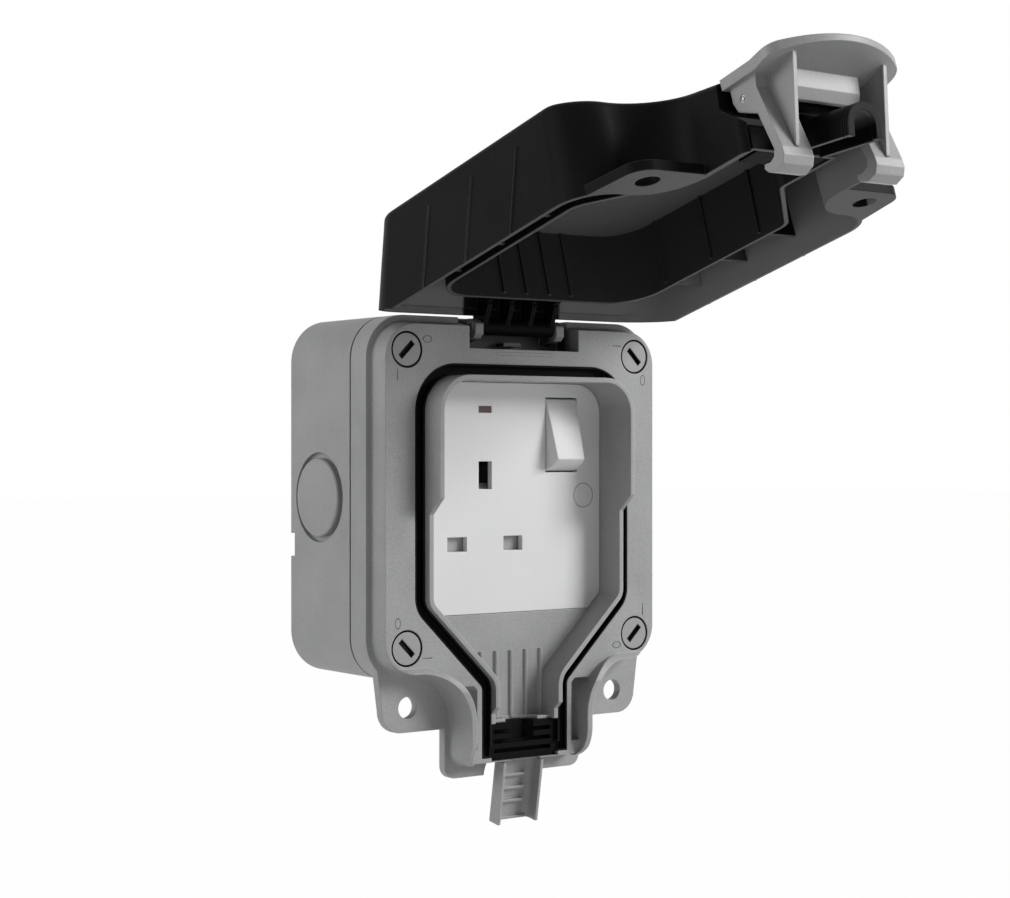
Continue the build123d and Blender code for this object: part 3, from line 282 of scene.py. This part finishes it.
# the lid's inner faces carry a painted reflection
blackLid = mouldedFinish("blackLid", (0.0055, 0.0052, 0.0058), (0.011, 0.0104, 0.0116), (0.36, 0.46),
                         grain=coarse, edge=0.6, specular=0.035, patch=insidePaintedSheen, edgeHighlight=0.07)
sealRubber = mouldedFinish("sealRubber", **rubberTone, grain=coarse, edge=0.3, specular=0.05)
lipRubber = mouldedFinish("lipRubber", **rubberTone, grain=coarse, edge=0.3, specular=0.05, edgeHighlight=0.11)
plateWhite = mouldedFinish("plateWhite", (0.81, 0.812, 0.815), (0.84, 0.841, 0.843), (0.3, 0.4),
                           grain=fine, edge=0.4)
rockerWhite = mouldedFinish("rockerWhite", (0.79, 0.792, 0.795), (0.82, 0.821, 0.823), (0.4, 0.5),
                            grain=fine, edge=0.4, specular=0.3)
lineWhite = mouldedFinish("lineWhite", (0.36, 0.362, 0.365), (0.42, 0.421, 0.423), (0.4, 0.5),
                          grain=fine, edge=0.05)
# painted shade: the shutter is darker than the plate so that the pin slots read shaded
shutterPaintedShade = mouldedFinish("shutterPaintedShade", (0.36, 0.36, 0.362), (0.41, 0.41, 0.412), (0.35, 0.45),
                             grain=fine, edge=0.3)
# painted shade: the housing is near black so that the slots in the plate read dark
housingDark = mouldedFinish("housingDark", (0.022, 0.022, 0.023), (0.03, 0.03, 0.031), (0.5, 0.65),
                            grain=coarse, edge=0.4, specular=0.2)
neonTint = mouldedFinish("neonTint", (0.075, 0.034, 0.034), (0.1, 0.045, 0.045), (0.12, 0.2),
                         grain=fine, edge=0.2)
lampGlass = mouldedFinish("lampGlass", (0.8, 0.76, 0.7), (0.85, 0.8, 0.74), (0.05, 0.1),
                          grain=fine, edge=0.2)
pinSteel = metalFinish("pinSteel", (0.42, 0.42, 0.43), (0.6, 0.6, 0.61), (0.22, 0.38), 900.0)
contactBrass = metalFinish("contactBrass", (0.55, 0.38, 0.13), (0.72, 0.53, 0.22), (0.2, 0.36), 700.0)

finishes = {
    greyShell: ["back_box", "entry_plug_left", "entry_plug_right"],
    greyFrame: ["front_frame"],
    greyScrew: ["frame_screw_top_left", "frame_screw_top_right",
                "frame_screw_bottom_left", "frame_screw_bottom_right"],
    greyClip: ["latch_clip"],
    blackLid: ["lid"],
    sealRubber: ["box_gasket", "lower_cable_seal", "upper_cable_seal"],
    lipRubber: ["lid_seal"],
    plateWhite: ["socket_plate", "screw_cover"],
    rockerWhite: ["rocker"],
    shutterPaintedShade: ["shutter"],
    housingDark: ["module_housing", "switch_plunger"],
    neonTint: ["neon_lens"],
    lampGlass: ["neon_lamp"],
    pinSteel: ["hinge_pin", "latch_pin", "plate_screw", "terminal_screws",
               "module_screws", "shutter_spring"],
    contactBrass: ["live_contact", "neutral_contact", "earth_contact", "switch_blade", "fixed_contact"],
}
for finish, names in finishes.items():
    for name in names:
        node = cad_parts[name]
        node.data.materials.clear()
        node.data.materials.append(finish)
print("finishes on", sum(len(v) for v in finishes.values()), "nodes")


# marks, rings and pin ends, all made from thin curves
curveSet = {"bevelSteps": 3, "ovalSteps": 16}


def addOval(x, z, halfWide, halfHigh, level, thick):
    bpy.ops.object.select_all(action='DESELECT')
    bpy.ops.curve.primitive_bezier_circle_add(radius=mm, location=(x * mm, -level * mm, z * mm),
                                              rotation=(math.pi / 2, 0, 0))
    oval = bpy.context.active_object
    oval.scale = (halfWide, halfHigh, 1)
    oval.data.bevel_depth = thick * mm
    oval.data.bevel_resolution = curveSet["bevelSteps"]
    oval.data.resolution_u = curveSet["ovalSteps"]
    return oval


def addStroke(points, level, thick, endSwell=1.0, closed=False):
    bpy.ops.object.select_all(action='DESELECT')
    bpy.ops.curve.primitive_bezier_curve_add()
    stroke = bpy.context.active_object
    spline = stroke.data.splines[0]
    spline.bezier_points.add(len(points) - 2)  # it starts with two
    for knot, (x, z) in zip(spline.bezier_points, points):
        knot.handle_left_type = 'VECTOR'
        knot.handle_right_type = 'VECTOR'
        knot.co = (x * mm, -level * mm, z * mm)
    spline.bezier_points[-1].radius = endSwell
    spline.use_cyclic_u = closed
    stroke.data.bevel_depth = thick * mm
    stroke.data.bevel_resolution = curveSet["bevelSteps"]
    stroke.data.use_fill_caps = True
    return stroke


def joinPiece(name, parts, finish, body):
    bpy.ops.object.select_all(action='DESELECT')
    for part in parts:
        part.select_set(True)
    bpy.context.view_layer.objects.active = parts[0]
    bpy.ops.object.convert(target='MESH')
    bpy.ops.object.transform_apply(location=True, rotation=True, scale=True)
    if len(parts) > 1:
        bpy.ops.object.join()
    piece = bpy.context.active_object
    bpy.ops.object.mode_set(mode='EDIT')
    bpy.ops.mesh.select_all(action='SELECT')
    bpy.ops.mesh.normals_make_consistent(inside=False)
    bpy.ops.object.mode_set(mode='OBJECT')
    bpy.ops.object.shade_smooth()
    piece.name = name
    piece.data.materials.clear()
    piece.data.materials.append(finish)
    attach(piece, body)
    return piece


markSet = {
    "level": 52.48,  # centre line just under the frame's face
    "thick": 0.11,
    "zeros": [  # place, half width and half height
        (-38.1, 50.05, 1.6, 1.05),
        (49.45, 38.7, 0.95, 1.65),
        (-49.15, -38.7, 0.95, 1.65),
        (38.15, -50.1, 1.6, 1.05),
    ],
    "ones": [  # both ends
        ((-49.3, 40.5), (-49.3, 37.0)),
        ((36.3, 50.0), (39.8, 50.0)),
        ((-39.85, -50.05), (-36.4, -50.05)),
        ((49.45, -36.6), (49.45, -40.5)),
    ],
    "endSwell": 1.7,
    "panel": [(-11.3, 45.65), (10.9, 45.65), (10.9, 46.7), (-11.3, 46.7)],  # thin frame below the hinge
    "panelThick": 0.07,
}
parts = []
for x, z, halfWide, halfHigh in markSet["zeros"]:
    parts.append(addOval(x, z, halfWide, halfHigh, markSet["level"], markSet["thick"]))
for ends in markSet["ones"]:
    parts.append(addStroke(ends, markSet["level"], markSet["thick"], markSet["endSwell"]))
parts.append(addStroke(markSet["panel"], markSet["level"], markSet["panelThick"], closed=True))
joinPiece("face_marks", parts, greyMark, "base")

ringSet = {"x": 45.8, "z": 46.6, "radius": 5.65, "level": 52.3, "thick": 0.11}
parts = []
for x in (-ringSet["x"], ringSet["x"]):
    for z in (-ringSet["z"], ringSet["z"]):
        parts.append(addOval(x, z, ringSet["radius"], ringSet["radius"], ringSet["level"], ringSet["thick"]))
joinPiece("screw_rings", parts, sealRubber, "base")

coverSet = {"x": 30.2, "z": 0.0, "radius": 4.02, "level": 44.48, "thick": 0.055}
coverRing = addOval(coverSet["x"], coverSet["z"], coverSet["radius"], coverSet["radius"],
                    coverSet["level"], coverSet["thick"])
joinPiece("cover_line", [coverRing], lineWhite, "base")

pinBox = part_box("latch_pin")
pinMiddle = middleOf(pinBox)
pinSet = {"radius": 0.62, "thick": 0.16}
parts = []
for end in (pinBox[0][0], pinBox[1][0]):
    oval = addOval(0, 0, pinSet["radius"], pinSet["radius"], 0, pinSet["thick"])
    oval.rotation_euler = (math.pi / 2, 0, math.pi / 2)
    oval.location = (end, pinMiddle[1], pinMiddle[2])
    parts.append(oval)
joinPiece("pin_sockets", parts, sealRubber, "lid")
print("marks, rings and pin ends made")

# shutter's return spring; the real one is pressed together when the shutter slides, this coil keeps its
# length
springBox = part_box("shutter_spring")
springMiddle = middleOf(springBox)
springSet = {
    "wire": 0.22,  # radius
    "wireSides": 8,
    "turns": 6,
    "steps": 24,
    "weld": 0.001,
    "crease": 50,
    "keep": 0.488,  # share of the length that is left when pressed
}
wire = springSet["wire"] * mm
springWide = springBox[1][0] - springBox[0][0]
springHigh = springBox[1][2] - springBox[0][2] - 2 * wire
bpy.ops.object.select_all(action='DESELECT')
bpy.ops.mesh.primitive_circle_add(vertices=springSet["wireSides"], radius=wire, rotation=(math.pi / 2, 0, 0),
                                  location=(springWide / 2 - wire, 0, wire))
spring = bpy.context.active_object
bpy.ops.object.transform_apply(location=True, rotation=True, scale=True)
coil = spring.modifiers.new("coil", 'SCREW')
coil.screw_offset = springHigh / springSet["turns"]
coil.iterations = springSet["turns"]
coil.steps = springSet["steps"]
coil.render_steps = springSet["steps"]
bpy.ops.object.modifier_apply(modifier="coil")
bpy.ops.object.mode_set(mode='EDIT')
bpy.ops.mesh.select_all(action='SELECT')
bpy.ops.mesh.remove_doubles(threshold=springSet["weld"] * mm)
bpy.ops.mesh.fill_holes(sides=0)  # wire ends
bpy.ops.mesh.normals_make_consistent(inside=False)
bpy.ops.object.mode_set(mode='OBJECT')
bpy.ops.object.shade_smooth_by_angle(angle=math.radians(springSet["crease"]))
spring.location = (springMiddle[0], springMiddle[1], springBox[0][2])
bpy.ops.object.transform_apply(location=True, rotation=False, scale=False)
spring.name = "return_spring"
spring.data.materials.append(pinSteel)
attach(spring, "base")
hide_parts("shutter_spring")
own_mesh(spring)
print("return spring made")

# rocker with one sloping face, full at its lower end
rockerSet = {
    "axis": (20.9, -40.9, 20.2),  # a point of it, midway along the pin
    "radius": 12.2,
    "sides": 128,
    "wide": 12.5,
    "front": 3.6,  # from the axis to the plate's face
    "back": 4.5,
    "top": 11.6,  # height over the axis where the sloping face leaves the plate
    "rise": 5.6,
    "run": 19.6,
    "draft": 0.125,
    "soften": 0.8,
    "softenSteps": 4,
    "softenAngle": 30,
    "pinRadius": 1.1,
    "pinSides": 32,
    "pinLong": 16.1,
    "crease": 35,
}
axisX, axisY, axisZ = [place * mm for place in rockerSet["axis"]]


def addRod(radius, length, sides):  # along the rocker's axis
    bpy.ops.object.select_all(action='DESELECT')
    bpy.ops.mesh.primitive_cylinder_add(vertices=sides, radius=radius * mm, depth=length * mm,
                                        location=(axisX, axisY, axisZ), rotation=(0, math.pi / 2, 0))
    return bpy.context.active_object


rocker = addRod(rockerSet["radius"], rockerSet["wide"], rockerSet["sides"])
bpy.ops.object.transform_apply(location=True, rotation=True, scale=True)
frontY = axisY - rockerSet["front"] * mm
backY = axisY + rockerSet["back"] * mm
topZ = axisZ + rockerSet["top"] * mm
halfWide = rockerSet["wide"] / 2 * mm
cuts = [
    ((axisX, frontY, topZ), (0, -rockerSet["run"], rockerSet["rise"])),  # sloping face
    ((axisX + halfWide, frontY, axisZ), (1, -rockerSet["draft"], 0)),  # drafted sides
    ((axisX - halfWide, frontY, axisZ), (-1, -rockerSet["draft"], 0)),
    ((axisX, backY, axisZ), (0, 1, 0)),  # back
]
bpy.ops.object.mode_set(mode='EDIT')
for point, normal in cuts:
    bpy.ops.mesh.select_all(action='SELECT')
    bpy.ops.mesh.bisect(plane_co=point, plane_no=Vector(normal).normalized(),
                        use_fill=True, clear_outer=True)
bpy.ops.object.mode_set(mode='OBJECT')
soften = rocker.modifiers.new("soften", 'BEVEL')
soften.width = rockerSet["soften"] * mm
soften.segments = rockerSet["softenSteps"]
soften.limit_method = 'ANGLE'
soften.angle_limit = math.radians(rockerSet["softenAngle"])
bpy.ops.object.modifier_apply(modifier="soften")
pin = addRod(rockerSet["pinRadius"], rockerSet["pinLong"], rockerSet["pinSides"])
bpy.ops.object.select_all(action='DESELECT')
bpy.context.view_layer.objects.active = rocker
union = rocker.modifiers.new("union", 'BOOLEAN')
union.operation = 'UNION'
union.object = pin
bpy.ops.object.modifier_apply(modifier="union")
pin.select_set(True)
bpy.ops.object.delete()
bpy.context.view_layer.objects.active = rocker
rocker.select_set(True)
bpy.ops.object.shade_smooth_by_angle(angle=math.radians(rockerSet["crease"]))
rocker.name = "rocker_paddle"
rocker.data.materials.clear()
rocker.data.materials.append(rockerWhite)
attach(rocker, "rocker")
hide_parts("rocker")
print("rocker made")

# camera
view = {
    "place": (-0.39903, -0.59022, 0.01646),
    "azimuth": 36.02,
    "drop": -0.0014,
    "lens": 73.588,
    "sensor": 36.0,
    "near": 0.01,
    "far": 50.0,
}
camData = bpy.data.cameras.new("photoCamera")
camData.sensor_fit = 'HORIZONTAL'
camData.sensor_width = view["sensor"]
camData.lens = view["lens"]
camData.clip_start = view["near"]
camData.clip_end = view["far"]
camera = bpy.data.objects.new("photoCamera", camData)
scene.collection.objects.link(camera)
camera.location = view["place"]
turn = math.radians(view["azimuth"])
look = Vector((math.sin(turn), math.cos(turn), view["drop"]))
camera.rotation_euler = look.to_track_quat('-Z', 'Y').to_euler()
scene.camera = camera


# floor and studio
def seenDirect(nodes, links):  # 1 for the rays of the camera, of reflections and of glass
    ray = nodes.new("ShaderNodeLightPath")
    seen = addMath(nodes, links, 'MAXIMUM', ray.outputs["Is Camera Ray"], ray.outputs["Is Glossy Ray"])
    return addMath(nodes, links, 'MAXIMUM', seen, ray.outputs["Is Transmission Ray"])


floorSet = {
    "level": -0.16,
    "size": 12.0,
    "grain": (6.0, 3.0),  # scale and detail
    "rough": (0.7, 0.8),
    "tone": (0.8, 0.8, 0.8, 1),
    "white": 0.985,  # share of plain white where it is seen
}
bpy.ops.object.select_all(action='DESELECT')
bpy.ops.mesh.primitive_plane_add(size=floorSet["size"], location=(0, 0, floorSet["level"]))
floor = bpy.context.active_object
floor.name = "floor"
bpy.ops.object.transform_apply(location=True, rotation=False, scale=False)
floorMat, nodes, links, shader = newFinish("paleFloor")
coords = nodes.new("ShaderNodeTexCoord").outputs["Object"]
grain = addNoise(nodes, links, coords, *floorSet["grain"])
links.new(addRange(nodes, links, grain, *floorSet["rough"]), shader.inputs["Roughness"])
shader.inputs["Base Color"].default_value = floorSet["tone"]
glow = nodes.new("ShaderNodeEmission")
lit = nodes.new("ShaderNodeMixShader")
whiteShare = addRange(nodes, links, seenDirect(nodes, links), 0.0, floorSet["white"], 0.0, 1.0)
links.new(whiteShare, lit.inputs["Fac"])
links.new(shader.outputs["BSDF"], lit.inputs[1])
links.new(glow.outputs["Emission"], lit.inputs[2])
out = [n for n in nodes if n.type == 'OUTPUT_MATERIAL'][0]
links.new(lit.outputs["Shader"], out.inputs["Surface"])
floor.data.materials.append(floorMat)

studioSet = {"light": 0.075, "seen": 1.0}  # strength for the part, and where it is seen itself
world = bpy.data.worlds.new("studio")
scene.world = world
world.use_nodes = True
nodes = world.node_tree.nodes
links = world.node_tree.links
nodes.clear()
out = nodes.new("ShaderNodeOutputWorld")
back = nodes.new("ShaderNodeBackground")
back.inputs["Color"].default_value = (1, 1, 1, 1)
strength = addRange(nodes, links, seenDirect(nodes, links), studioSet["light"], studioSet["seen"], 0.0, 1.0)
links.new(strength, back.inputs["Strength"])
links.new(back.outputs["Background"], out.inputs["Surface"])

lamps = [
    {"name": "keyBox", "place": (1.05, -1.15, 0.72), "aim": (0.0, -0.06, 0.0), "size": 0.7, "power": 21.5},
    {"name": "sideBox", "place": (-1.35, 0.28, 0.3), "aim": (0.0, -0.03, 0.02), "size": 0.8, "power": 7.5},
    {"name": "fillBox", "place": (-0.3, -1.7, 0.05), "aim": (0.0, -0.05, 0.0), "size": 1.0, "power": 0.7},
]
for lamp in lamps:
    lampData = bpy.data.lights.new(lamp["name"], 'AREA')
    lampData.shape = 'SQUARE'
    lampData.size = lamp["size"]
    lampData.energy = lamp["power"]
    lampObj = bpy.data.objects.new(lamp["name"], lampData)
    scene.collection.objects.link(lampObj)
    lampObj.location = lamp["place"]
    beam = Vector(lamp["aim"]) - Vector(lamp["place"])
    lampObj.rotation_euler = beam.to_track_quat('-Z', 'Y').to_euler()
scene.view_settings.view_transform = 'Standard'
print("camera, floor and", len(lamps), "lamps set")
